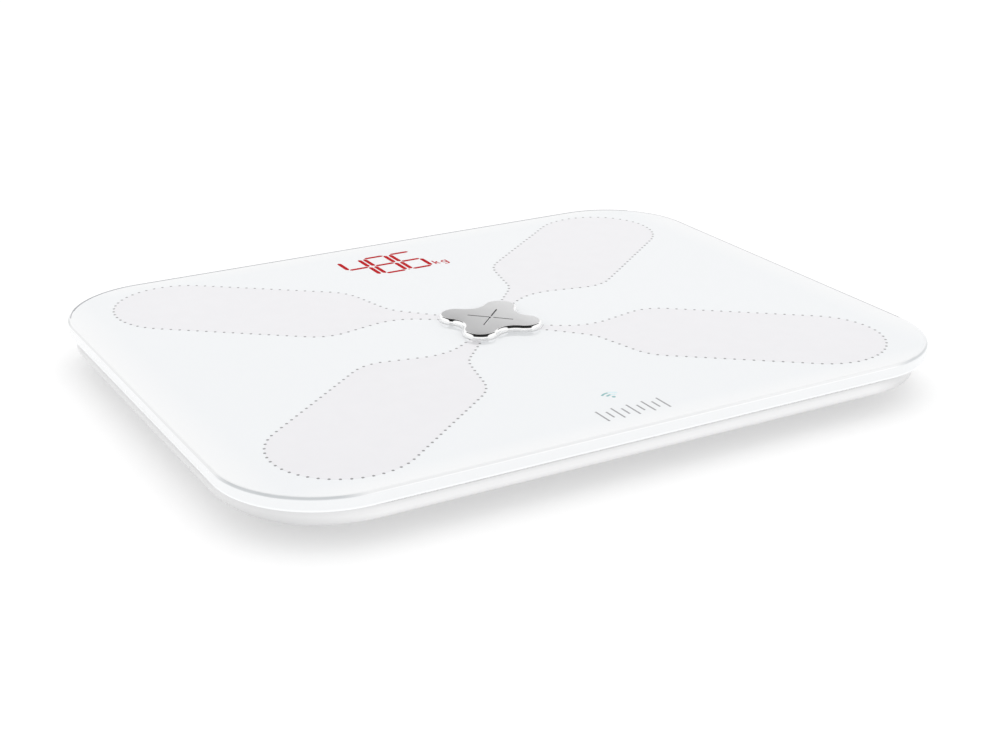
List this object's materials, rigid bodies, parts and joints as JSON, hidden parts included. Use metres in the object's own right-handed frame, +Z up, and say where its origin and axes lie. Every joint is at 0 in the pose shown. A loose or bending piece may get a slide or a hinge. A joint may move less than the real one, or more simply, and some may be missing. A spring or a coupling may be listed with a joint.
{
  "type": "digital bathroom scale",
  "caption": "Low glass-topped bathroom scale with petal electrodes, a chrome hub, a red LED reading and sprung load-cell feet.",
  "frame": {"origin": "on the floor, under the centre of the glass platform", "axes": "+X along the long side, towards the user's right; +Y away from the user, towards the display; +Z up"},
  "size_m": [0.33, 0.26, 0.0255],
  "materials": {
    "glass": "tempered glass, printed white underneath, polished",
    "electrode_film": "clear conductive film over the white print, slightly greyer than the glass",
    "foam": "matt foam tape",
    "chrome": "bright bevel with a satin top",
    "grey_plastic": "matt moulded",
    "white_plastic": "fine moulded satin",
    "rubber": "matt grip rubber",
    "nickel": "nickel plated",
    "steel": "rolled spring steel",
    "zinc": "zinc plated",
    "circuit_board": "green solder mask",
    "black_plastic": "moulded epoxy",
    "battery_jacket": "printed film jacket",
    "lead": "soft lead insulation"
  },
  "bodies": {
    "platform": {"adhesive_ring": "foam", "base_shell": "white_plastic", "battery_1": "battery_jacket", "battery_2": "battery_jacket", "battery_3": "battery_jacket", "battery_4": "battery_jacket", "battery_contact_1": "nickel", "battery_contact_2": "nickel", "battery_contact_3": "nickel", "battery_contact_4": "nickel", "battery_contact_5": "nickel", "battery_lead": "lead", "board_screw": "zinc", "carrier_screw_back_left": "zinc", "carrier_screw_back_right": "zinc", "carrier_screw_front_left": "zinc", "carrier_screw_front_right": "zinc", "cell_carrier_back_left": "grey_plastic", "cell_carrier_back_right": "grey_plastic", "cell_carrier_front_left": "grey_plastic", "cell_carrier_front_right": "grey_plastic", "controller_chip": "black_plastic", "display_board": "circuit_board", "display_lead": "lead", "display_light_block": "white_plastic", "electrode_back_left": "electrode_film", "electrode_back_right": "electrode_film", "electrode_front_left": "electrode_film", "electrode_front_right": "electrode_film", "glass_platform": "glass", "hub_cap": "chrome", "hub_carrier": "grey_plastic", "hub_contact_back_left": "nickel", "hub_contact_back_right": "nickel", "hub_contact_front_left": "nickel", "hub_contact_front_right": "nickel", "hub_gasket": "rubber", "hub_lead": "lead", "hub_nut": "nickel", "load_cell_back_left": "steel", "load_cell_back_right": "steel", "load_cell_front_left": "steel", "load_cell_front_right": "steel", "load_cell_lead_back_left": "lead", "load_cell_lead_back_right": "lead", "load_cell_lead_front_left": "lead", "load_cell_lead_front_right": "lead", "main_board": "circuit_board", "push_switch": "black_plastic", "wireless_module": "zinc"},
    "foot_carriage_front_left": {"foot_front_left": "white_plastic", "foot_pad_front_left": "rubber"},
    "foot_carriage_front_right": {"foot_front_right": "white_plastic", "foot_pad_front_right": "rubber"},
    "foot_carriage_back_left": {"foot_back_left": "white_plastic", "foot_pad_back_left": "rubber"},
    "foot_carriage_back_right": {"foot_back_right": "white_plastic", "foot_pad_back_right": "rubber"},
    "door": {"battery_door": "white_plastic"},
    "button": {"unit_button": "grey_plastic"}
  },
  "joints": [
    {"name": "foot_travel_front_left", "type": "slide", "parent": "platform", "child": "foot_carriage_front_left", "axis": [0, 0, 1], "range_m": [0, 0.0005], "stiffness_N_per_m": 25000},
    {"name": "foot_travel_front_right", "type": "slide", "parent": "platform", "child": "foot_carriage_front_right", "axis": [0, 0, 1], "range_m": [0, 0.0005], "stiffness_N_per_m": 25000},
    {"name": "foot_travel_back_left", "type": "slide", "parent": "platform", "child": "foot_carriage_back_left", "axis": [0, 0, 1], "range_m": [0, 0.0005], "stiffness_N_per_m": 25000},
    {"name": "foot_travel_back_right", "type": "slide", "parent": "platform", "child": "foot_carriage_back_right", "axis": [0, 0, 1], "range_m": [0, 0.0005], "stiffness_N_per_m": 25000},
    {"name": "door_hinge", "type": "hinge", "parent": "platform", "child": "door", "pos_m": [0, -0.0773, 0.0043], "axis": [-1, 0, 0], "range_deg": [0, 45]},
    {"name": "unit_button_press", "type": "slide", "parent": "platform", "child": "button", "axis": [0, 0, 1], "range_m": [0, 0.0004], "stiffness_N_per_m": 1500}
  ]
}
